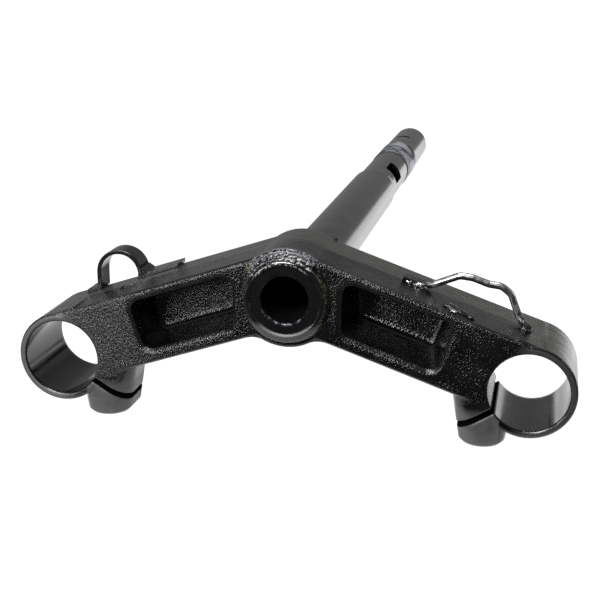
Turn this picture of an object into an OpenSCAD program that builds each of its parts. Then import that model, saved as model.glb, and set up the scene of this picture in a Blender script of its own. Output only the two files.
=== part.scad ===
// Motorcycle lower triple clamp with its steering stem, all sizes in millimetres.
// X runs to the rider's right, Y up the steering axis, Z towards the bike's rear.
// The origin is on the steering axis, in the plane of the yoke's underside.

/* [Fork clamps] */
// diameter of the fork tubes the clamps take
fork_tube_d = 37; // [35:0.5:39]
// distance between the two fork tubes
fork_spacing = 224; // [218:1:230]
// how far the fork tubes stand in front of the steering axis
fork_offset = 37.2; // [35:0.2:39]
// wall of each clamp ring
clamp_wall = 3.3; // [3:0.1:4.5]
// radial clearance of a clamp on its fork tube before it is tightened
clamp_clearance = 0.05; // [0.02:0.01:0.15]

/* [Yoke] */
// height of the casting along the steering axis
yoke_height = 44.5; // [42:0.5:50]
// height of the parting line above the underside
parting_height = 22.5; // [20:0.5:24]
// slope of each arm against the yoke's width
arm_slope = 18.8; // [17.5:0.1:20]
// distance of an arm's front wall from the steering axis
front_wall = 14; // [13:0.5:16]
// taper of the wall between the parting line and the underside
wall_draft = 0.7; // [0.3:0.1:1.2]
// rounding of the arm's upper edges
top_rounding = 4; // [2:0.5:5]
// bevel of the arm's underside edges
underside_bevel = 1; // [0.5:0.1:1.5]
// radius of the hub around the steering stem
hub_r = 23.6; // [22.5:0.1:25]
// radius of the raised collar on the underside
collar_r = 19.5; // [19:0.1:21]
// height of the raised collar
collar_height = 3.5; // [2:0.5:5]

/* [Pockets] */
// depth of the pocket in each arm
pocket_depth = 25; // [15:1:30]
// inward lean of the pocket walls over that depth
pocket_draft = 3.6; // [2:0.1:4]
// radius of the pocket's upright corners
pocket_corner_r = 5; // [3:0.5:6]
// radius between the pocket's walls and its floor
pocket_floor_r = 3.5; // [2:0.5:5]
// bevel round the pocket's mouth
pocket_lip = 1.4; // [0.5:0.1:2]

/* [Pinch bolt lugs] */
// distance of each lug's middle inboard of its fork tube
lug_inset = 20.5; // [19.5:0.1:21.5]
// half the width of a lug at its end face
lug_r = 10.8; // [10.5:0.1:11.2]
// length of a lug's end face along the steering axis
lug_length = 33; // [28:0.5:40]
// how much wider a lug is at its root, on each side
lug_draft = 3.6; // [2:0.1:4.5]
// distance of a lug's end face in front of the fork tubes
lug_reach = 28.2; // [26:0.2:31]
// distance of each pinch bolt's axis inboard of its fork tube
bolt_inset = 24; // [23.6:0.2:25]
// width of the clamp slot
slot_width = 2.6; // [1.5:0.1:3.5]
// slope of the clamp slot, which points at the fork tube's axis
slot_slope = 32; // [30:0.5:34]
// tapping radius of the pinch bolt thread
bolt_tap_r = 3.4; // [3:0.1:3.5]
// radius of the pinch bolt's clearance hole
bolt_clear_r = 4.3; // [4:0.1:4.6]

/* [Steering stem] */
// diameter of the stem's foot, pressed into the yoke
stem_foot_d = 32; // [31:0.1:32.5]
// diameter of the lower bearing's seat, just above the yoke
bearing_seat_d = 30; // [30:0.1:30.5]
// length of that seat
bearing_seat_length = 15; // [12:1:18]
// diameter of the stem's long lower part
stem_d = 29.6; // [29:0.1:29.6]
// diameter of the stem's upper part
stem_upper_d = 27; // [25:0.5:28]
// diameter inside the stem
stem_bore_d = 22.5; // [18:0.5:22.5]
// height of the stem's tip above the yoke's underside
stem_top = 471.5; // [440:0.5:500]
// height where the taper between the two diameters begins
taper_start = 262; // [250:1:270]
// length of that taper
taper_length = 10; // [6:1:14]
// height of the groove under the thread
groove_height = 342; // [335:1:350]
// length of the thread's bare band
thread_length = 50; // [30:1:55]
// height of the steering lock window's middle
window_height = 296; // [290:1:305]
// length of the steering lock window
window_length = 25; // [16:1:26]
// width of the steering lock window
window_width = 13; // [9:0.5:13]
// direction of the steering lock window round the stem
window_angle = 55; // [40:1:70]

/* [Cable loop] */
// width of the loop's strip
strip_width = 12; // [8:0.5:12]
// thickness of the strip
strip_t = 2; // [1.5:0.1:2.5]
// distance of the loop inboard of the left fork tube
loop_inset = 19.5; // [19:0.5:22]
// outer radius of the loop
loop_r = 11.8; // [10.5:0.1:12]
// height of the loop's centre above the arm
loop_rise = 5.7; // [4:0.1:8]
// length of the loop's long foot
foot_length = 19; // [12:1:20]

/* [Wire guide] */
// diameter of the guide's wire
wire_d = 3.4; // [2.5:0.1:4]
// radius of the wire's bends
bend_r = 6; // [4:0.5:6]
// height of the wire above the yoke's underside
wire_height = 22; // [20:0.1:24]
// rise of the guide above the arm
wire_rise = 15; // [10:0.5:18]
// distance inboard of the right fork tube where the guide comes back down on the arm
wire_inset = 5.8; // [5:0.1:7]
// span of the guide from there to its inner end, along the yoke's width
wire_span = 54.7; // [52:0.1:56]

/* [Hidden] */
$fn = 96;
eps = 0.02;
weld_gap = 0.02;
fork_x = fork_spacing / 2;
bore_r = fork_tube_d / 2 + clamp_clearance;
ring_r = bore_r + clamp_wall;
ring_bevel = 0.8;
shoulder_inset = 0.06;
stem_r = stem_d / 2;
foot_r = stem_foot_d / 2;
foot_bevel = 0.5;
// place of the fork bore along an arm, and above the arm's own axis
bore_u = fork_x * cos(arm_slope) + fork_offset * sin(arm_slope);
bore_n = fork_x * sin(arm_slope) - fork_offset * cos(arm_slope);
rear_wall = bore_n + ring_r;
arm_end = bore_u - 8.5;
// the pocket's mouth, as a four-sided outline along and across the arm
pocket_near = 25.4;
pocket_far = 76;
pocket_end_lean = 2.4;
pocket_rear = rear_wall - 4.8;
pocket_front = 6.8 - front_wall;
mouth = [
    [pocket_near - pocket_end_lean, pocket_rear],
    [pocket_far, pocket_rear],
    [pocket_far, pocket_front],
    [pocket_near + pocket_end_lean, pocket_front],
];
corner_sign = [[1, -1], [-1, -1], [-1, 1], [1, 1]];
hull_fn = 32;
wire_sides = 24;
bend_steps = 6;
// fillet between the hub and an arm's front wall
web_r = 12;
web_wall = front_wall - wall_draft;
web_u = sqrt(pow(hub_r + web_r, 2) - pow(web_wall + web_r, 2));
lug_x = fork_x - lug_inset;
lug_end = fork_offset + lug_reach;
lug_root = fork_offset + 5;
lug_rounding = 1.5;
lug_fn = 64;
slot_start = bore_r - 4;
slot_end = 44;
bolt_x = fork_x - bolt_inset;
bolt_y = lug_length / 2;
bolt_slot_z = -fork_offset - bolt_inset * tan(slot_slope);
bolt_thread_length = 20;
weld_prep = 2.8;
weld_depth = 4;
weld_dome = 0.9;
seat_lead = 0.5;
groove_length = 3;
groove_deep = 0.6;
thread_r = stem_upper_d / 2 + 0.35;
stem_chamfer = 1.5;
window_corner = 2;
notch_height = 423;
notch_width = 10;
notch_length = 4.5;
notch_deep = 2;
strip_near = yoke_height - 13;
foot_bend = 3;
short_foot = 5.5;

// height of the arm's rear wall at a distance from the middle, in the Z direction
function wall_z(x) = (rear_wall - x * sin(arm_slope)) / cos(arm_slope);

loop_x = fork_x - loop_inset;
loop_z = wall_z(loop_x) + loop_rise;
wire_out_x = fork_x - wire_inset;
wire_in_x = wire_out_x - wire_span;

function unit(v) = v / norm(v);

// turns the drawing plane so that its Y becomes Z and its depth runs down Y
module on_edge(top, depth) {
    translate([0, top, 0])
        rotate([90, 0, 0])
            linear_extrude(height = depth)
                children();
}

// a shape turned about the steering axis direction, from y = 0 upwards
module round_about_y() {
    rotate([-90, 0, 0])
        rotate_extrude()
            children();
}

module y_hole(x, z, r, y0, y1) {
    translate([x, y0, z])
        rotate([-90, 0, 0])
            cylinder(r = r, h = y1 - y0);
}

// one arm's cross-section: height from the underside against distance across the arm
module arm_section() {
    h = yoke_height;
    r = top_rounding;
    b = underside_bevel;
    rear = rear_wall;
    front = -front_wall;
    polygon(concat(
        [[0, rear - wall_draft - b], [b, rear - wall_draft], [parting_height, rear]],
        [for (i = [0:5]) [h - r + r * sin(i * 18), rear - r + r * cos(i * 18)]],
        [for (i = [0:5]) [h - r + r * cos(i * 18), front + r - r * sin(i * 18)]],
        [[parting_height, front], [b, front + wall_draft], [0, front + wall_draft + b]]
    ));
}

module arm() {
    rotate([0, arm_slope, 0]) {
        rotate([90, 0, 90])
            linear_extrude(height = arm_end)
                arm_section();
        // straight shoulder where the arm runs into the clamp ring
        translate([arm_end - 6, ring_bevel + shoulder_inset, 2 - front_wall])
            cube([
                bore_u - arm_end + 6,
                yoke_height - 2 * (ring_bevel + shoulder_inset),
                rear_wall - shoulder_inset + front_wall - 2,
            ]);
        // fillet between the hub and the arm's front wall
        on_edge(yoke_height - top_rounding, yoke_height - top_rounding - underside_bevel)
            difference() {
                polygon([
                    [0, 0],
                    [web_u, -web_wall],
                    [web_u * hub_r / (hub_r + web_r), -(web_wall + web_r) * hub_r / (hub_r + web_r)],
                ]);
                translate([web_u, -web_wall - web_r])
                    circle(r = web_r);
            }
    }
}

module clamp_ring() {
    translate([fork_x, 0, -fork_offset])
        round_about_y()
            polygon([
                [0, 0],
                [ring_r - ring_bevel, 0],
                [ring_r, ring_bevel],
                [ring_r, yoke_height - ring_bevel],
                [ring_r - ring_bevel, yoke_height],
                [0, yoke_height],
            ]);
}

// long rounded boss beside the clamp, flush with the underside and drafted on its flanks
module lug() {
    hull()
        for (y = [lug_r, lug_length - lug_r]) {
            translate([lug_x, y, -lug_end])
                cylinder(r = lug_r - lug_rounding, h = 1, $fn = lug_fn);
            translate([lug_x, y, lug_rounding - lug_end])
                cylinder(r = lug_r, h = 1, $fn = lug_fn);
            for (lean = [-lug_draft, lug_draft])
                translate([lug_x + lean, y, -lug_root])
                    cylinder(r = lug_r, h = 1, $fn = lug_fn);
        }
}

module hub() {
    round_about_y()
        polygon([
            [0, -collar_height],
            [collar_r - 0.8, -collar_height],
            [collar_r, 0.8 - collar_height],
            [collar_r, 0],
            [hub_r - underside_bevel, 0],
            [hub_r, underside_bevel],
            [hub_r, yoke_height - 2],
            [hub_r - 2, yoke_height],
            [0, yoke_height],
        ]);
}

module pocket() {
    rotate([0, arm_slope, 0]) {
        hull()
            for (i = [0:3]) {
                low = mouth[i] + corner_sign[i] * (pocket_draft + pocket_floor_r);
                mouth_corner(i, pocket_corner_r, 0);
                translate([low[0], pocket_depth - pocket_floor_r, low[1]])
                    sphere(r = pocket_floor_r, $fn = hull_fn);
            }
        hull()
            for (i = [0:3]) {
                mouth_corner(i, pocket_corner_r + pocket_lip, 0);
                mouth_corner(i, pocket_corner_r, pocket_lip);
            }
    }
}

// a thin disc at one corner of the pocket's mouth, with its upper face at a height
module mouth_corner(i, r, top) {
    place = mouth[i] + corner_sign[i] * pocket_corner_r;
    translate([place[0], top - 0.2, place[1]])
        rotate([-90, 0, 0])
            cylinder(r = r, h = 0.2, $fn = hull_fn);
}

module clamp_slot() {
    translate([fork_x, -1, -fork_offset])
        rotate([0, 180 - slot_slope, 0])
            translate([slot_start, 0, -slot_width / 2])
                cube([slot_end - slot_start, yoke_height + 2, slot_width]);
}

module pinch_bolt_hole() {
    translate([bolt_x, bolt_y, bolt_slot_z])
        cylinder(r = bolt_tap_r, h = bolt_thread_length);
    translate([bolt_x, bolt_y, -lug_end - 1])
        cylinder(r = bolt_clear_r, h = bolt_slot_z + lug_end + 1);
}

module yoke() {
    color([0.05, 0.05, 0.055])
        difference() {
            union() {
                hub();
                for (side = [0, 1])
                    mirror([side, 0, 0]) {
                        arm();
                        clamp_ring();
                        lug();
                    }
            }
            y_hole(0, 0, foot_r + weld_gap, -10, yoke_height + 1);
            // bevel that the stem's weld fills
            round_about_y()
                polygon([
                    [0, -collar_height - 1],
                    [foot_r + weld_prep, -collar_height - 1],
                    [foot_r + weld_prep, -collar_height],
                    [foot_r + weld_gap, weld_depth - collar_height],
                    [0, weld_depth - collar_height],
                ]);
            for (side = [0, 1])
                mirror([side, 0, 0]) {
                    y_hole(fork_x, -fork_offset, bore_r, -1, yoke_height + 1);
                    pocket();
                    clamp_slot();
                    pinch_bolt_hole();
                }
        }
}

// window cut straight through one side of the stem's wall
module lock_window() {
    w = window_width / 2;
    l = window_length / 2;
    c = window_corner;
    rotate([0, window_angle, 0])
        translate([0, window_height, 0]) {
            translate([-w, c - l, 5])
                cube([2 * w, 2 * (l - c), 15]);
            translate([c - w, -l, 5])
                cube([2 * (w - c), 2 * l, 15]);
            for (a = [-1, 1], b = [-1, 1])
                translate([a * (w - c), b * (l - c), 5])
                    cylinder(r = c, h = 15);
        }
}

module steering_stem() {
    upper_r = stem_upper_d / 2;
    bore = stem_bore_d / 2;
    band = groove_height + groove_length;
    color([0.13, 0.12, 0.115])
        difference() {
            round_about_y()
                polygon([
                    [bore + foot_bevel, -collar_height],
                    [foot_r, -collar_height],
                    [foot_r, yoke_height],
                    [bearing_seat_d / 2, yoke_height],
                    [bearing_seat_d / 2, yoke_height + bearing_seat_length],
                    [stem_r, yoke_height + bearing_seat_length + seat_lead],
                    [stem_r, taper_start],
                    [upper_r, taper_start + taper_length],
                    [upper_r, groove_height],
                    [upper_r - groove_deep, groove_height + 0.5],
                    [upper_r - groove_deep, band - 0.5],
                    [thread_r, band],
                    [thread_r, band + thread_length],
                    [upper_r, band + thread_length + 0.5],
                    [upper_r, stem_top - stem_chamfer],
                    [upper_r - stem_chamfer, stem_top],
                    [bore, stem_top],
                    [bore, foot_bevel - collar_height],
                ]);
            lock_window();
            translate([-notch_width / 2, notch_height - notch_length / 2, upper_r - notch_deep])
                cube([notch_width, notch_length, 5]);
        }
}

module stem_weld() {
    color([0.06, 0.06, 0.06])
        round_about_y()
            polygon(concat(
                [[foot_r, weld_depth - collar_height], [foot_r, -collar_height]],
                [for (i = [1:5])
                    [foot_r + weld_prep * i / 6, -collar_height - weld_dome * sin(i * 30)]],
                [[foot_r + weld_prep, -collar_height]]
            ));
}

// the strip seen end on: an arch, two legs and two feet that lie along the sloping wall
module loop_outline() {
    inner = loop_r - strip_t;
    drop = strip_t / cos(arm_slope);
    difference() {
        translate([loop_x, loop_z])
            circle(r = loop_r);
        translate([loop_x, loop_z])
            circle(r = inner);
        translate([loop_x - loop_r - 1, loop_z - loop_r - 1])
            square([2 * loop_r + 2, loop_r + 1]);
    }
    for (leg = [loop_x - loop_r, loop_x + inner])
        polygon([
            [leg, wall_z(leg)],
            [leg + strip_t, wall_z(leg + strip_t)],
            [leg + strip_t, loop_z + eps],
            [leg, loop_z + eps],
        ]);
    wall_strip(loop_x + inner + strip_t / 2, loop_x + loop_r + short_foot, drop);
    wall_strip(loop_x - loop_r - foot_length, loop_x - loop_r + strip_t / 2, drop);
    // bend between the long foot and its leg
    polygon([
        [loop_x - loop_r - foot_bend, wall_z(loop_x - loop_r - foot_bend) + drop],
        [loop_x - loop_r + eps, wall_z(loop_x - loop_r) + drop],
        [loop_x - loop_r + eps, wall_z(loop_x - loop_r) + drop + foot_bend],
    ]);
}

// a flat length of strip on the arm's rear wall, between two distances from the middle
module wall_strip(x0, x1, drop) {
    polygon([
        [x0, wall_z(x0)],
        [x1, wall_z(x1)],
        [x1, wall_z(x1) + drop],
        [x0, wall_z(x0) + drop],
    ]);
}

module cable_loop() {
    color([0.05, 0.05, 0.055])
        mirror([1, 0, 0])
            on_edge(strip_near + strip_width, strip_width)
                loop_outline();
}

// round wire along a line of points in space, bent at each point to one radius
module bent_wire(p, r) {
    last = len(p) - 1;
    way = [for (i = [0:last - 1]) unit(p[i + 1] - p[i])];
    // each station is a place on the wire's axis and the wire's direction there
    stations = concat(
        [[p[0], way[0]]],
        [for (i = [1:last - 1], k = [0:bend_steps])
            let (
                a = way[i - 1],
                b = way[i],
                turn = acos(a * b),
                inward = unit(b - a * (a * b)),
                now = turn * k / bend_steps,
                start = p[i] - a * bend_r * tan(turn / 2))
            [
                start + bend_r * (a * sin(now) + inward * (1 - cos(now))),
                a * cos(now) + inward * sin(now),
            ]],
        [[p[last], way[last - 1]]]
    );
    n = wire_sides;
    rings = len(stations);
    places = [for (st = stations, j = [0:n - 1])
        let (
            a = 360 * j / n,
            across = unit(cross([0, 1, 0], st[1])),
            up = cross(st[1], across))
        st[0] + r * (across * cos(a) + up * sin(a))];
    skin = [for (i = [0:rings - 2], j = [0:n - 1])
        [i * n + j, (i + 1) * n + j, (i + 1) * n + (j + 1) % n, i * n + (j + 1) % n]];
    ends = [[for (j = [0:n - 1]) j], [for (j = [0:n - 1]) rings * n - 1 - j]];
    polyhedron(points = places, faces = concat(skin, ends), convexity = 6);
}

module wire_guide() {
    r = wire_d / 2;
    lift = r / cos(arm_slope);
    foot_in = wire_in_x + 12;
    // the raised part, as distances inboard of the outer foot and shares of the rise
    raised = [[28.7, 0.82], [22.7, 0.91], [15.2, 0.91], [9.4, 1], [5, 0.87]];
    // the outer foot turns along the arm's rear wall, towards the underside
    tip_x = wire_out_x + 3.8;
    tip_y = wire_height - 5;
    color([0.45, 0.45, 0.46])
        bent_wire(concat(
            [for (x = [wire_in_x, foot_in]) [x, wire_height, wall_z(x) + lift]],
            [for (s = raised)
                let (x = wire_out_x - s[0])
                [x, wire_height, wall_z(x) + s[1] * wire_rise]],
            [[wire_out_x, wire_height, wall_z(wire_out_x) + lift]],
            [[tip_x, tip_y, wall_z(tip_x) + lift]]
        ), r);
}

yoke();
steering_stem();
stem_weld();
cable_loop();
wire_guide();
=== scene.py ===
import math

import bmesh
import bpy
from mathutils import Matrix, Vector, noise


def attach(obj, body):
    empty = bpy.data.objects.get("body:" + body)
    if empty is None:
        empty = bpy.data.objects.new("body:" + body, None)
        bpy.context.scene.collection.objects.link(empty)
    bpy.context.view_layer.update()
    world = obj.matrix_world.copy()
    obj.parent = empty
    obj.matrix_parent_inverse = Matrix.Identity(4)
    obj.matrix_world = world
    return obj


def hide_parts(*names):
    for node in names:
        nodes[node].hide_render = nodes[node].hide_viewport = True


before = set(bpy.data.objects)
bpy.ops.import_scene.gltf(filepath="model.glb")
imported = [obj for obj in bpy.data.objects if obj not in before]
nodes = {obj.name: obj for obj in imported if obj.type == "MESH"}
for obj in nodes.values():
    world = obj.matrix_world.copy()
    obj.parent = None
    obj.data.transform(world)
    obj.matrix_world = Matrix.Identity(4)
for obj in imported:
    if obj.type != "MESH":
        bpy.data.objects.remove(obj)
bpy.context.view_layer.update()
MM = 0.001
WHITE = (1, 1, 1, 1)

# Sizes taken from the CAD model, in millimetres and radians
FORK_X = 112.0
FORK_Z = -37.2
BORE_R = 18.55
RING_R = 21.85
BOLT_X = 88.0
SLOT_HALF_WIDTH = 1.3
SLOT_SLOPE = math.radians(32.0)
ARM_SLOPE = math.radians(18.8)
REAR_WALL = FORK_X * math.sin(ARM_SLOPE) + FORK_Z * math.cos(ARM_SLOPE) + RING_R
HUB_R = 23.6
COLLAR_R = 19.5
COLLAR_HEIGHT = 3.5
STEM_FOOT_R = 16.0
STEM_UPPER_R = 13.5
STEM_BORE_R = 11.25
THREAD_START = 345.0
THREAD_END = 395.0

# Where the lugs and the stem's tip touch the table, as height above the underside and Z
LUG_TOUCH = (31.5, -65.4)
TIP_TOUCH = (470.0, -13.5)


def wall_z(x):
    """Height of an arm's rear wall at a distance from the middle."""
    return (REAR_WALL - abs(x) * math.sin(ARM_SLOPE)) / math.cos(ARM_SLOPE)


# Node helpers

class Graph:
    """A material's or world's node tree, with short calls for what is used here."""

    def __init__(self, tree):
        self.tree = tree
        tree.nodes.clear()

    def add(self, kind, **values):
        node = self.tree.nodes.new(kind)
        for name, value in values.items():
            setattr(node, name, value)
        return node

    def link(self, out, into):
        self.tree.links.new(out, into)

    def feed(self, socket, value):
        """Link another node's output to a socket, or set the socket to a plain value."""
        if hasattr(value, "links"):
            self.link(value, socket)
        else:
            socket.default_value = value

    def math(self, op, a, b=0.0):
        node = self.add("ShaderNodeMath", operation=op)
        self.feed(node.inputs[0], a)
        self.feed(node.inputs[1], b)
        return node.outputs[0]

    def plus(self, total, *others):
        for other in others:
            total = self.math("ADD", total, other)
        return total

    def minus(self, a, b):
        return self.math("SUBTRACT", a, b)

    def times(self, total, *others):
        for other in others:
            total = self.math("MULTIPLY", total, other)
        return total

    def unsigned(self, value):
        return self.math("ABSOLUTE", value)

    def span(self, a, b):
        """Straight distance covered by two steps at right angles."""
        return self.math("SQRT", self.plus(self.times(a, a), self.times(b, b)))

    def dot(self, a, b):
        node = self.add("ShaderNodeVectorMath", operation="DOT_PRODUCT")
        self.feed(node.inputs[0], a)
        self.feed(node.inputs[1], b)
        return node.outputs["Value"]

    def parts(self, vector):
        """The X, Y and Z of a vector."""
        node = self.add("ShaderNodeSeparateXYZ")
        self.link(vector, node.inputs[0])
        return node.outputs

    def ramp(self, value, low, high, to_low=0.0, to_high=1.0):
        """Smooth change from to_low, up to one value, to to_high, beyond the other."""
        node = self.add("ShaderNodeMapRange", interpolation_type="SMOOTHSTEP")
        self.feed(node.inputs["Value"], value)
        node.inputs["From Min"].default_value = low
        node.inputs["From Max"].default_value = high
        node.inputs["To Min"].default_value = to_low
        node.inputs["To Max"].default_value = to_high
        return node.outputs["Result"]

    def rise(self, distance, low, high):
        """Mask that is empty up to one distance, in millimetres, and full beyond the other."""
        return self.ramp(distance, low * MM, high * MM)

    def fall(self, distance, low, high):
        """Mask that is full up to one distance, in millimetres, and empty beyond the other."""
        return self.ramp(distance, low * MM, high * MM, 1.0, 0.0)

    def mix(self, share, a, b):
        node = self.add("ShaderNodeMix", data_type="RGBA")
        self.feed(node.inputs["Factor"], share)
        self.feed(node.inputs[6], a)
        self.feed(node.inputs[7], b)
        return node.outputs[2]

    def noise(self, place, scale, detail=2.0, rough=0.5):
        node = self.add("ShaderNodeTexNoise")
        self.link(place, node.inputs["Vector"])
        node.inputs["Scale"].default_value = scale
        node.inputs["Detail"].default_value = detail
        node.inputs["Roughness"].default_value = rough
        return node.outputs[0]

    def bump(self, height, distance, strength=1.0, normal=None):
        node = self.add("ShaderNodeBump")
        self.link(height, node.inputs["Height"])
        node.inputs["Distance"].default_value = distance
        self.feed(node.inputs["Strength"], strength)
        if normal is not None:
            self.link(normal, node.inputs["Normal"])
        return node.outputs[0]

    def soft_edges(self, radius):
        node = self.add("ShaderNodeBevel", samples=8)
        node.inputs["Radius"].default_value = radius
        return node.outputs[0]

    def place(self):
        """The point that is shaded, in the part's own frame."""
        return self.add("ShaderNodeTexCoord").outputs["Object"]


def new_material(name):
    material = bpy.data.materials.new(name)
    material.use_nodes = True
    graph = Graph(material.node_tree)
    shader = graph.add("ShaderNodeBsdfPrincipled")
    end = graph.add("ShaderNodeOutputMaterial")
    graph.link(shader.outputs[0], end.inputs["Surface"])
    return material, graph, shader


# Materials

def cast_regions(g, place, soft_normal):
    """Masks of the parts of the casting where its paint differs, and where sheen, glints and shade are
    painted on.
    """
    x, y, z = g.parts(place)
    off_middle = g.unsigned(x)
    facing = g.parts(g.add("ShaderNodeNewGeometry").outputs["Normal"])["Y"]
    soft_facing = g.parts(soft_normal)["Y"]

    # steps and distance from the nearer fork tube's axis
    across = g.minus(off_middle, FORK_X * MM)
    up = g.minus(z, FORK_Z * MM)
    from_fork = g.span(across, up)
    outside_bore = g.rise(from_fork, BORE_R + 0.15, BORE_R + 0.65)
    # the clamp's ring, but not where it runs into the arm
    ring = g.times(g.fall(from_fork, RING_R - 1.35, RING_R + 1.65), g.rise(across, -9, 1))
    # its flat face is satin and painted lighter grey as a painted sheen, more so on the left
    ring_satin_and_sheen = g.times(ring, outside_bore, g.ramp(facing, -0.95, -0.85, 1.0, 0.0))
    ring_satin_and_sheen = g.times(ring_satin_and_sheen, g.ramp(x, -50 * MM, 50 * MM, 1.0, 0.45))

    # the grain is strongest on the underside and on the left; the rings and lugs have none
    above_lug = g.rise(z, -49, -43)
    underside = g.ramp(soft_facing, -0.98, -0.78, 1.0, 0.42)
    coarse_left = g.ramp(x, -90 * MM, 30 * MM, 1.0, 0.62)
    patchy = g.ramp(g.noise(place, 75), 0.3, 0.7, 0.7, 1.15)
    calmer_hub = g.ramp(off_middle, 18 * MM, 40 * MM, 0.8, 1.0)
    grainy = g.times(g.minus(1.0, ring), above_lug, underside, coarse_left, patchy, calmer_hub)

    # the walls are duller and painted lighter grey as a painted sheen, but not their near half between the
    # clamps
    near_half = g.times(g.fall(y, 21, 23), g.fall(off_middle, 110, 112))
    dull = g.times(g.minus(1.0, near_half), g.ramp(facing, -0.5, -0.2), outside_bore)
    # a patch of each lug is smoother and greyer than the rest
    patch_half = 11.5
    off_bolt = g.unsigned(g.minus(off_middle, BOLT_X * MM))
    lug = g.times(g.fall(off_bolt, patch_half - 0.3, patch_half + 0.3), g.fall(z, -51, -46))
    # on the left arm's end the paint is rougher and the grain's crests are painted lighter, as painted
    # glints
    left_end = g.times(g.fall(x, -88, -62), outside_bore, g.ramp(facing, -0.8, -0.5, 1.0, 0.0))
    # the faces inside the clamp's slot, painted near black as painted shade
    off_slot = g.minus(g.times(across, math.sin(SLOT_SLOPE)), g.times(up, math.cos(SLOT_SLOPE)))
    in_slot = g.times(g.fall(g.unsigned(off_slot), SLOT_HALF_WIDTH + 0.06, SLOT_HALF_WIDTH + 0.16),
                      g.fall(across, -12, -10))
    return {"outside_bore": outside_bore, "ring_satin_and_sheen": ring_satin_and_sheen, "grainy": grainy, "dull": dull,
            "lug": g.times(lug, outside_bore), "left_end": left_end, "in_slot": in_slot}


def cast_paint():
    """Gloss black paint over a casting: grainy underside, calmer walls, smooth bores and lugs."""
    material, g, shader = new_material("cast_paint")
    place = g.place()
    edges = g.soft_edges(2.4 * MM)
    region = cast_regions(g, place, edges)

    grain = g.noise(place, 900, 2.0, 0.6)
    fine = g.noise(place, 1900, 1.0, 0.55)
    height = g.plus(g.times(grain, 0.7), g.times(fine, 0.3))
    wavy = g.bump(g.noise(place, 110, 3.0), 1.0 * MM, g.times(region["outside_bore"], 0.3), edges)
    g.link(g.bump(height, 0.95 * MM, region["grainy"], wavy), shader.inputs["Normal"])

    # each layer of colour lies over the ones before it
    black = g.mix(g.ramp(g.noise(place, 60), 0.35, 0.7), (0.0015, 0.0015, 0.0018, 1),
                  (0.0045, 0.0045, 0.0042, 1))
    # painted sheen on the walls
    wall_sheen = g.mix(g.noise(place, 140, 3.0), (0.010, 0.010, 0.009, 1), (0.034, 0.034, 0.031, 1))
    # painted glints on the grain's crests at the left arm's end
    painted_glints = g.mix(g.ramp(height, 0.40, 0.62), (0.002, 0.002, 0.003, 1), (0.034, 0.035, 0.037, 1))
    # painted sheen on the clamp ring's flat face
    satin = g.mix(grain, (0.040, 0.040, 0.042, 1), (0.085, 0.085, 0.088, 1))
    grey = g.mix(g.noise(place, 260, 3.0), (0.030, 0.030, 0.032, 1), (0.056, 0.056, 0.058, 1))
    # painted shade inside the clamp's slot
    slot_shade = (0.001, 0.001, 0.001, 1)
    colour = black
    for name, layer in (("dull", wall_sheen), ("left_end", painted_glints), ("ring_satin_and_sheen", satin), ("lug", grey),
                        ("in_slot", slot_shade)):
        colour = g.mix(region[name], colour, layer)
    g.link(colour, shader.inputs["Base Color"])

    roughness = g.ramp(g.noise(place, 45), 0.3, 0.7, 0.11, 0.18)
    for name, more in (("dull", 0.12), ("left_end", 0.12), ("ring_satin_and_sheen", 0.22), ("lug", 0.28),
                       ("in_slot", 0.6)):
        roughness = g.plus(roughness, g.times(region[name], more))
    g.link(roughness, shader.inputs["Roughness"])
    g.link(g.minus(0.5, g.times(region["in_slot"], 0.48)), shader.inputs["Specular IOR Level"])
    return material


def smooth_paint(name, roughness, wave=0.25):
    """Gloss black paint on smooth steel, with the slight waviness of thick paint."""
    material, g, shader = new_material(name)
    place = g.place()
    runs = g.noise(place, 180)
    specks = g.noise(place, 1500, 1.0)
    soft = g.bump(runs, 0.5 * MM, wave, g.soft_edges(0.8 * MM))
    gloss = g.ramp(g.noise(place, 90), 0.3, 0.7, roughness * 0.7, roughness * 1.3)
    g.link(g.bump(specks, 0.06 * MM, 0.5, soft), shader.inputs["Normal"])
    g.link(g.mix(runs, (0.004, 0.004, 0.0045, 1), (0.010, 0.010, 0.011, 1)), shader.inputs["Base Color"])
    g.link(gloss, shader.inputs["Roughness"])
    shader.inputs["Specular IOR Level"].default_value = 0.4
    return material


def wire_steel():
    """Bright drawn wire; near its feet it is covered with the yoke's black paint."""
    material, g, shader = new_material("wire_steel")
    place = g.place()
    streaks = g.noise(place, 500, 2.0, 0.6)
    # the paint's edges are ragged
    x = g.plus(g.parts(place)["X"], g.times(g.minus(streaks, 0.5), 6 * MM))
    bright = g.times(g.rise(x, 64, 68), g.fall(x, 103, 106))
    steel = g.mix(streaks, (0.20, 0.20, 0.21, 1), (0.38, 0.37, 0.38, 1))
    g.link(g.mix(bright, (0.008, 0.008, 0.008, 1), steel), shader.inputs["Base Color"])
    g.link(bright, shader.inputs["Metallic"])
    g.link(g.ramp(streaks, 0.3, 0.7, 0.24, 0.34), shader.inputs["Roughness"])
    g.link(g.bump(streaks, 0.05 * MM, 0.2), shader.inputs["Normal"])
    return material


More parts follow.
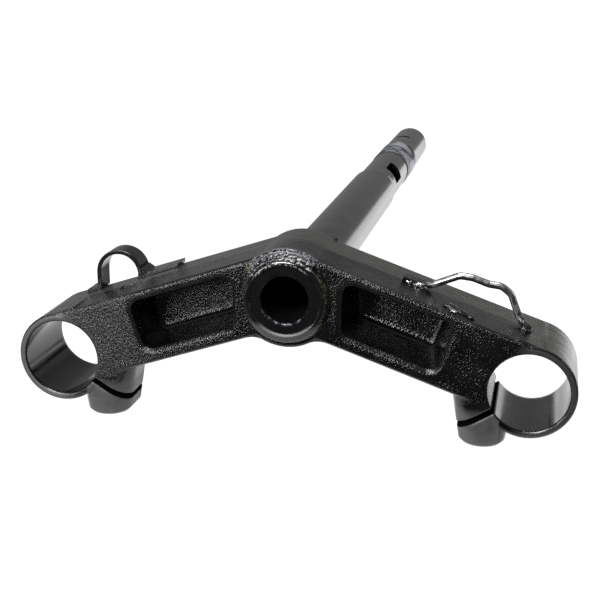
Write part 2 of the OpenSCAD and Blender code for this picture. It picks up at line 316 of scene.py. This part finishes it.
def hub_paint():
    """The weld's gloss paint: satin grey below, with painted highlights: pale on ripple crests and a
    little yellow at the sides.
    """
    material, g, shader = new_material("hub_paint")
    place = g.place()
    here = g.parts(place)
    specks = g.noise(place, 900, 2.0, 0.6)
    below = g.fall(here["Z"], -14, -10)
    # painted highlight: the ripples' crests are pale
    crest = g.ramp(g.add("ShaderNodeAttribute", attribute_name="crest").outputs["Fac"], 0.40, 0.85)
    # painted highlight: a yellowish glint along the collar's rim at the sides
    rim = g.times(g.rise(g.span(here["X"], here["Z"]), COLLAR_R - 0.6, COLLAR_R - 0.1),
                  g.ramp(specks, 0.46, 0.58))
    rim_glint = g.times(rim, g.rise(g.unsigned(here["X"]), 14, 17))

    grey = g.mix(specks, (0.030, 0.030, 0.032, 1), (0.075, 0.075, 0.078, 1))
    pale = g.mix(g.ramp(specks, 0.40, 0.60), (0.006, 0.006, 0.007, 1), (0.12, 0.12, 0.13, 1))
    coat = g.mix(below, (0.004, 0.004, 0.005, 1), grey)
    coat = g.mix(crest, coat, pale)
    g.link(g.mix(rim_glint, coat, (0.075, 0.072, 0.036, 1)), shader.inputs["Base Color"])
    g.link(g.plus(g.times(below, 0.34), g.times(crest, 0.08), 0.10), shader.inputs["Roughness"])
    g.link(g.bump(specks, 0.14 * MM, 0.35), shader.inputs["Normal"])
    shader.inputs["Specular IOR Level"].default_value = 0.6
    return material


def weld_metal():
    """Weld that the paint has left half bare."""
    material, g, shader = new_material("weld_metal")
    place = g.place()
    patches = g.ramp(g.noise(place, 700, 3.0, 0.6), 0.42, 0.58)
    g.link(g.mix(patches, (0.010, 0.010, 0.010, 1), (0.42, 0.41, 0.40, 1)), shader.inputs["Base Color"])
    g.link(g.times(patches, 0.8), shader.inputs["Metallic"])
    g.link(g.ramp(patches, 0.0, 1.0, 0.15, 0.3), shader.inputs["Roughness"])
    g.link(g.bump(g.noise(place, 1400), 0.2 * MM, 0.5), shader.inputs["Normal"])
    return material


def stem_coat():
    """Thin satin coat on turned steel, with the bare bluish band of the thread, a painted highlight on the
    bore's lip, and painted shade that makes it matt black inside.
    """
    material, g, shader = new_material("stem_coat")
    place = g.place()
    x, y, z = g.parts(place)
    radius = g.span(x, z)
    # turning marks run round the stem, so this noise changes only along it
    along = g.add("ShaderNodeCombineXYZ")
    g.link(y, along.inputs[1])
    marks = g.noise(along.outputs[0], 1500, 2.0, 0.6)
    cloud = g.noise(place, 70, 3.0, 0.6)
    scuff = g.noise(place, 420, 3.0, 0.65)

    outside = g.rise(radius, STEM_BORE_R + 0.35, STEM_BORE_R + 1.15)
    band = g.times(g.rise(y, THREAD_START - 1, THREAD_START + 2),
                   g.fall(y, THREAD_END - 6, THREAD_END + 1), outside)
    # the bore's lip is painted as bare steel in patches low down at its front: a painted highlight
    lip = g.times(g.fall(radius, STEM_BORE_R + 0.65, STEM_BORE_R + 1.05), g.fall(y, -3, -2))
    lip_glint = g.times(lip, g.ramp(g.noise(place, 380), 0.48, 0.54), g.fall(z, -7, -4))
    # this mask holds the thread's bare band and the painted highlight on the bore's lip
    bare = g.math("MAXIMUM", g.times(band, g.ramp(cloud, 0.25, 0.6, 0.55, 1.0)), lip_glint)
    # the foot is painted with the yoke, and the bore, the window and the notch are painted black inside as
    # painted shade
    coated = g.times(g.rise(y, 36, 46), g.rise(radius, STEM_UPPER_R - 0.25, STEM_UPPER_R - 0.08))
    cut_shade = g.times(g.fall(radius, STEM_UPPER_R - 0.5, STEM_UPPER_R - 0.2), g.rise(y, 40, 46))
    inside = g.math("MAXIMUM", cut_shade, g.fall(radius, STEM_BORE_R + 0.05, STEM_BORE_R + 0.35))

    coat = g.mix(g.ramp(cloud, 0.3, 0.7), (0.005, 0.0042, 0.0038, 1), (0.011, 0.0092, 0.0082, 1))
    steel = g.mix(g.ramp(scuff, 0.3, 0.7), (0.10, 0.11, 0.14, 1), (0.22, 0.23, 0.27, 1))
    painted = g.mix(coated, (0.003, 0.003, 0.003, 1), coat)
    g.link(g.mix(bare, painted, steel), shader.inputs["Base Color"])
    g.link(g.times(bare, 0.75), shader.inputs["Metallic"])
    sheen = g.ramp(scuff, 0.3, 0.7, 0.14, 0.20)
    # the painted shade inside is matt and has little gloss
    g.link(g.plus(sheen, g.times(inside, 0.75)), shader.inputs["Roughness"])
    g.link(g.minus(0.5, g.times(inside, 0.48)), shader.inputs["Specular IOR Level"])

    # fine grooves on the bare band, where it shows between the thread's turns and at its ends
    groove_pitch = 1.25 * MM
    grooves = g.times(g.math("SINE", g.times(y, 2 * math.pi / groove_pitch)), 0.5)
    turned = g.bump(marks, 0.015 * MM, 0.3)
    scuffed = g.bump(scuff, 0.03 * MM, 0.3, turned)
    g.link(g.bump(grooves, 0.3 * MM, g.times(band, 0.35), scuffed), shader.inputs["Normal"])
    return material


def thread_steel():
    """Bare steel of the thread, bluish, with a dark cloud."""
    material, g, shader = new_material("thread_steel")
    place = g.place()
    cloud = g.ramp(g.noise(place, 75, 3.0, 0.6), 0.38, 0.62)
    stain = g.noise(place, 420, 3.0, 0.65)
    light = g.mix(stain, (0.30, 0.31, 0.35, 1), (0.46, 0.47, 0.51, 1))
    g.link(g.mix(cloud, (0.035, 0.037, 0.055, 1), light), shader.inputs["Base Color"])
    g.link(g.ramp(stain, 0.3, 0.7, 0.28, 0.40), shader.inputs["Roughness"])
    shader.inputs["Metallic"].default_value = 0.6
    return material


def studio_paper(name, nap_scale, low, high, roughness, specular, glow):
    """Matt paper between two greys, which may glow by itself."""
    material, g, shader = new_material(name)
    nap = g.noise(g.place(), nap_scale, 3.0)
    g.link(g.mix(nap, (low, low, low, 1), (high, high, high, 1)), shader.inputs["Base Color"])
    shader.inputs["Roughness"].default_value = roughness
    shader.inputs["Specular IOR Level"].default_value = specular
    shader.inputs["Emission Color"].default_value = WHITE
    shader.inputs["Emission Strength"].default_value = glow
    return material


def floor_paper():
    """Pale paper, lit from below as on a light table, so that hardly a shadow shows."""
    return studio_paper("floor_paper", 300, 0.10, 0.13, 0.9, 0.1, 1.0)


def card_paper(name, low, high, glow):
    """Matt studio card, which shapes what the gloss paint reflects."""
    return studio_paper(name, 400, low, high, 1.0, 0.0, glow)


def dress(piece, material):
    piece.data.materials.clear()
    piece.data.materials.append(material)
    for face in piece.data.polygons:
        face.material_index = 0


dress(nodes["yoke"], cast_paint())
dress(nodes["steering_stem"], stem_coat())
weld_paint = smooth_paint("weld_paint", 0.16, 0.6)
guide_paint = smooth_paint("guide_paint", 0.13)
dress(nodes["stem_weld"], weld_paint)
dress(nodes["cable_loop"], guide_paint)
dress(nodes["wire_guide"], wire_steel())


# Pieces that the CAD leaves to this script: welds, spatter and the thread

def make_piece(name, corners, faces, material):
    """A smooth-shaded piece on the part's one body, from corners in metres."""
    mesh = bpy.data.meshes.new(name)
    mesh.from_pydata(corners, [], faces)
    mesh.materials.append(material)
    for face in mesh.polygons:
        face.use_smooth = True
    piece = bpy.data.objects.new(name, mesh)
    bpy.context.scene.collection.objects.link(piece)
    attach(piece, "root")
    return piece


def round_axis(r, angle, y):
    """A corner in metres, from millimetres out from the steering axis and along it."""
    return (r * math.cos(angle) * MM, y * MM, r * math.sin(angle) * MM)


def grid_faces(rows, columns, closed):
    """Quads over rows of corners; in a closed grid the last row and column join the first."""
    faces = []
    for i in range(rows if closed else rows - 1):
        here = i * columns
        there = (i + 1) % rows * columns
        for j in range(columns if closed else columns - 1):
            onward = (j + 1) % columns
            faces.append((here + j, here + onward, there + onward, there + j))
    return faces


def smooth_step(low, high, value):
    t = min(max((value - low) / (high - low), 0.0), 1.0)
    return t * t * (3 - 2 * t)


def window(value, low, high, soft):
    """One inside low to high, falling to nothing over soft on both sides."""
    return smooth_step(low - soft, low, value) * (1 - smooth_step(high, high + soft, value))


def blend(share, a, b):
    return a + share * (b - a)


def lumps(x, z, size, layer):
    """Unevenness from -1 to 1, with features of a size in millimetres; each layer has its own."""
    return noise.noise(Vector((x, layer, z)) / size)


# The weld round the stem's foot, in millimetres: its inner and outer edges, how far it may stand
# below the underside, where it closes inside the casting, the distance between its rows of ripples,
# and the width of the plain bead along its inner edge
WELD_INNER_R = STEM_FOOT_R + 0.03
WELD_OUTER_R = HUB_R
WELD_LOWEST = 4.38
WELD_BACK = 2.5
RIPPLE_PITCH = 2.1
BEAD_WIDTH = 2.75


def weld_surface(r, angle):
    """How far the weld stands below the underside at a place, and how much painted highlight of a crest is
    there.
    """
    turn = math.degrees(angle)
    upper = window(turn, 54, 144, 12)
    lower = window(turn, 212, 328, 14)
    x, z = r * math.cos(angle), r * math.sin(angle)

    wander = 0.45 * lumps(x, z, 5.0, 3.0)
    number = (r + wander - WELD_INNER_R) / RIPPLE_PITCH
    row = abs(math.sin(math.pi * number))
    steps = angle * 5.5 + 0.37 * int(number) + 1.4 * lumps(x, z, 5.0, 9.0)
    swell = row * (0.35 + 0.65 * abs(math.sin(math.pi * steps)))
    ripple = 0.85 * swell + 0.15 * lumps(x, z, 1.3, 0.0)

    # at the sides there is a plain bead, and from the collar's rim on the weld drops out of sight
    if r > WELD_INNER_R + BEAD_WIDTH:
        plain = COLLAR_HEIGHT - 0.05 - 9.0 * smooth_step(COLLAR_R - 0.3, COLLAR_R + 1.7, r)
    else:
        share = min(max((r - WELD_INNER_R) / BEAD_WIDTH, 0.0), 1.0)
        plain = COLLAR_HEIGHT + 0.75 * math.sin(math.pi * share) ** 0.7
    # the rippled weld above and the smooth one below run on down to the casting
    crown = COLLAR_HEIGHT + 0.05 - 3.9 * smooth_step(COLLAR_R - 0.2, COLLAR_R + 3.8, r) + ripple
    fillet = COLLAR_HEIGHT + 0.5 - 0.5 * smooth_step(STEM_FOOT_R + 0.4, COLLAR_R, r)
    fillet += 0.10 * lumps(x, z, 2.5, 5.0) - 4.2 * smooth_step(COLLAR_R - 0.2, COLLAR_R + 2.7, r)

    raised = blend(upper, plain, max(crown, plain))
    raised = blend(lower, raised, max(fillet, plain))
    at_stem = 1 - smooth_step(WELD_INNER_R, WELD_INNER_R + 0.5, r)
    raised = blend(at_stem, raised, min(raised, COLLAR_HEIGHT - 0.1))
    # share of painted highlight: the ripples' crests and the outer flank that faces the light above, on
    # the upper side only
    crest = max(swell, smooth_step(COLLAR_R + 1.4, COLLAR_R + 2.3, r + wander)) * upper
    return min(raised, WELD_LOWEST), crest


def hub_weld():
    """Weld round the stem's foot: rows of ripples above, a smooth satin bead below, plain at the sides."""
    around, across = 720, 64
    corners, crests = [], []
    for i in range(around):
        angle = 2 * math.pi * i / around
        for j in range(across):
            r = WELD_INNER_R + (WELD_OUTER_R - WELD_INNER_R) * j / (across - 1)
            raised, crest = weld_surface(r, angle)
            corners.append(round_axis(r, angle, -raised))
            crests.append(crest)
        # the ring is closed behind, inside the casting
        for r in (WELD_OUTER_R, WELD_INNER_R):
            corners.append(round_axis(r, angle, WELD_BACK))
            crests.append(0.0)
    faces = grid_faces(around, across + 2, True)
    piece = make_piece("hub_weld", corners, faces, hub_paint())
    # the share of painted highlight goes on the mesh for hub_paint
    layer = piece.data.attributes.new("crest", "FLOAT", "POINT")
    layer.data.foreach_set("value", crests)
    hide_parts("stem_weld")


def thread():
    """Rolled thread on the stem's bare band, as one helical surface."""
    per_turn, pitch, valley, root, crest = 96, 1.5, 13.78, 13.90, 14.02
    profile = [(0.0, valley), (0.15, root), (0.42, crest), (0.58, crest), (0.85, root), (1.0, valley)]
    rows = per_turn * int((THREAD_END - THREAD_START) / pitch - 2) + 1
    corners = []
    for i in range(rows):
        start = THREAD_START + pitch * (0.5 + i / per_turn)
        for along, r in profile:
            corners.append(round_axis(r, 2 * math.pi * i / per_turn, start + along * pitch))
    make_piece("stem_thread", corners, grid_faces(rows, len(profile), False), thread_steel())


def weld_blob(name, centre, size, seed, material):
    """A lump of weld, half sunk in the rear wall of the arm on its side."""
    tool = bmesh.new()
    bmesh.ops.create_icosphere(tool, subdivisions=4, radius=1.0)
    turn = Matrix.Rotation(math.copysign(ARM_SLOPE, centre[0]), 3, "Y")
    corners = []
    for corner in tool.verts:
        place = corner.co
        swell = 1 + 0.4 * noise.noise(place * 1.7 + Vector((seed, 0, 0))) + 0.2 * noise.noise(place * 4.5)
        local = place * Vector(size) * swell
        corners.append((turn @ local + Vector(centre)) * MM)
    faces = [tuple(corner.index for corner in face.verts) for face in tool.faces]
    tool.free()
    make_piece(name, corners, faces, material)


def on_wall(x, y, lift=0.0):
    """A place on an arm's rear wall, lifted square off it."""
    outward = math.copysign(lift * math.sin(ARM_SLOPE), x)
    return (x + outward, y, wall_z(x) + lift * math.cos(ARM_SLOPE))


hub_weld()
thread()
bare_weld = weld_metal()
# Beads and drops: name, place, half sizes, seed of the shape, and material
blobs = [
    # over the wire guide's inner foot
    ("wire_weld_a", on_wall(54.6, 22.8, 0.6), (3.6, 1.9, 1.8), 1, bare_weld),
    ("wire_weld_b", on_wall(59.2, 21.4, 0.5), (3.2, 2.2, 1.9), 2, bare_weld),
    ("wire_weld_c", on_wall(56.6, 24.8, 0.2), (2.6, 1.6, 1.2), 3, bare_weld),
    # spatter on the near half of the right arm's rear wall
    ("spatter_a", on_wall(75.5, 9.5), (3.8, 3.0, 0.9), 4, weld_paint),
    ("spatter_b", on_wall(80.4, 7.4), (3.4, 2.2, 0.8), 5, weld_paint),
    ("spatter_c", on_wall(84.4, 5.4), (2.0, 1.6, 0.7), 6, weld_paint),
    ("spatter_d", on_wall(76.4, 5.0), (1.5, 1.3, 0.6), 7, bare_weld),
    # at the wire guide's outer foot
    ("wire_weld_d", on_wall(108.6, 17.6, 0.3), (2.6, 1.8, 1.3), 8, weld_paint),
    # a drop of paint on the far edge beside the stem
    ("paint_drop", (15.4, 43.4, 18.9), (1.1, 1.0, 0.7), 13, weld_paint),
    # at the cable loop's feet, and the seam between them
    ("loop_weld_a", on_wall(-107.4, 35.0), (2.4, 3.2, 0.9), 9, weld_paint),
    ("loop_weld_b", on_wall(-104.6, 32.2), (2.2, 1.3, 0.8), 10, weld_paint),
    ("loop_weld_c", on_wall(-79.5, 32.3, 0.2), (3.0, 1.4, 1.1), 11, weld_paint),
    ("loop_seam", on_wall(-84.0, 19.6), (4.4, 0.6, 0.6), 12, weld_paint),
]
for name, centre, size, seed, material in blobs:
    weld_blob(name, centre, size, seed, material)


# The table that the part lies on: it touches both lugs and the stem's tip
tilt = math.atan2(TIP_TOUCH[1] - LUG_TOUCH[1], TIP_TOUCH[0] - LUG_TOUCH[0])
table_place = Matrix.Translation(Vector((0, *LUG_TOUCH)) * MM) @ Matrix.Rotation(tilt, 4, "X")
FLOOR_HALF = 4.0
CARD_LIFT = 0.001
BACK_CARD_Y = 0.6


def sheet(name, corners, material):
    """A flat sheet of the studio, given by its corners in the table's own frame, in metres."""
    mesh = bpy.data.meshes.new(name)
    mesh.from_pydata(corners, [], [tuple(range(len(corners)))])
    mesh.materials.append(material)
    piece = bpy.data.objects.new(name, mesh)
    bpy.context.scene.collection.objects.link(piece)
    piece.matrix_world = table_place
    return piece


def lying(height, *outline):
    """Corners of a sheet that lies at a height above the table."""
    return [(x, y, height) for x, y in outline]


floor_outline = [(-FLOOR_HALF, -FLOOR_HALF), (FLOOR_HALF, -FLOOR_HALF), (FLOOR_HALF, FLOOR_HALF),
                 (-FLOOR_HALF, FLOOR_HALF)]
sheet("floor", lying(0.0, *floor_outline), floor_paper())
# cards that shape what the gloss paint reflects: black in front, grey on the left and behind,
# white on the right; the camera sees none of them
cards = [
    sheet("front_card", lying(CARD_LIFT, (-1.2, -1.5), (1.2, -1.5), (1.2, -0.12), (0.3, -0.045),
                              (-0.25, -0.045), (-1.2, -0.3)), card_paper("black_card", 0.01, 0.03, 0.0)),
    sheet("left_card", lying(CARD_LIFT, (-0.10, 0.16), (-0.03, 0.06), (-0.03, 0.75), (-1.5, 0.75),
                             (-1.5, 0.3)), card_paper("left_grey", 0.08, 0.10, 0.16)),
    sheet("back_card", [(x, BACK_CARD_Y, z) for x, z in ((-2, 0), (2, 0), (2, 0.2), (-2, 0.2))],
          card_paper("back_grey", 0.10, 0.12, 0.13)),
    sheet("right_card", lying(CARD_LIFT, (0.03, 0.12), (0.55, 0.02), (0.55, 0.55), (0.03, 0.55)),
          card_paper("right_white", 0.10, 0.14, 1.4)),
]
for card in cards:
    card.visible_camera = False


# Camera, solved from the photograph's circles and outlines; the lens's axis meets the picture
# at the same column and row, just off its middle
CAMERA_AT = Vector((0.11438, -0.50896, 0.15266))
CAMERA_RIGHT = Vector((0.9778, 0.2096, 0.0047))
CAMERA_UP = Vector((-0.0632, 0.2736, 0.9598))
FOCAL_PIXELS = 1182.4
PHOTO_PIXELS = 600.0
AXIS_PIXEL = 298.6
SENSOR_WIDTH = 36.0

camera_data = bpy.data.cameras.new("camera")
camera_data.sensor_width = SENSOR_WIDTH
camera_data.lens = SENSOR_WIDTH * FOCAL_PIXELS / PHOTO_PIXELS
camera_data.shift_x = (PHOTO_PIXELS / 2 - AXIS_PIXEL) / PHOTO_PIXELS
camera_data.shift_y = -camera_data.shift_x
camera = bpy.data.objects.new("camera", camera_data)
bpy.context.scene.collection.objects.link(camera)
camera_back = CAMERA_RIGHT.cross(CAMERA_UP).normalized()
camera_up = camera_back.cross(CAMERA_RIGHT).normalized()
camera_turn = Matrix((CAMERA_RIGHT.normalized(), camera_up, camera_back)).transposed().to_4x4()
camera.matrix_world = Matrix.Translation(CAMERA_AT) @ camera_turn
bpy.context.scene.camera = camera


# Studio light, in metres and watts

def softbox(name, place, target, size, power):
    data = bpy.data.lights.new(name, "AREA")
    data.shape = "RECTANGLE"
    data.size, data.size_y = size
    data.energy = power
    lamp = bpy.data.objects.new(name, data)
    bpy.context.scene.collection.objects.link(lamp)
    lamp.location = place
    lamp.rotation_euler = (Vector(target) - Vector(place)).to_track_quat("-Z", "Y").to_euler()


softbox("light_key", (-0.25, -0.80, 0.62), (0, 0, 0), (0.46, 0.36), 17.0)
softbox("light_left", (-0.42, -0.70, 0.10), (-0.05, 0, 0), (0.20, 0.20), 2.2)
softbox("light_top", (0.0, -0.05, 1.1), (0, 0.05, 0), (0.5, 0.4), 10.0)
softbox("light_right", (1.2, 0.3, 0.5), (0, 0.1, 0), (0.6, 0.6), 3.0)

world = bpy.data.worlds.new("studio")
bpy.context.scene.world = world
world.use_nodes = True
sky = Graph(world.node_tree)
shade = sky.add("ShaderNodeBackground")
sky.link(shade.outputs[0], sky.add("ShaderNodeOutputWorld").inputs["Surface"])
toward = sky.add("ShaderNodeTexCoord").outputs["Generated"]
# the studio is dark behind the camera, dim round about and pale overhead
behind = Vector((0.15, -0.98, 0.0)).normalized()
camera_side = sky.ramp(sky.dot(toward, tuple(behind)), 0.35, 0.95)
overhead = sky.ramp(sky.dot(toward, (0.0, 0.0, 1.0)), 0.1, 0.9, 0.12, 0.35)
studio_light = sky.times(overhead, sky.minus(1.0, sky.times(camera_side, 0.9)))
# beyond the floor's edge the backdrop is as pale as the floor
seen = sky.add("ShaderNodeLightPath").outputs["Is Camera Ray"]
sky.link(sky.math("MAXIMUM", studio_light, seen), shade.inputs["Strength"])
shade.inputs["Color"].default_value = WHITE
bpy.context.scene.view_settings.view_transform = "Standard"
# the denoiser takes the casting's grain for noise, so it stays off
bpy.context.scene.cycles.use_denoising = False
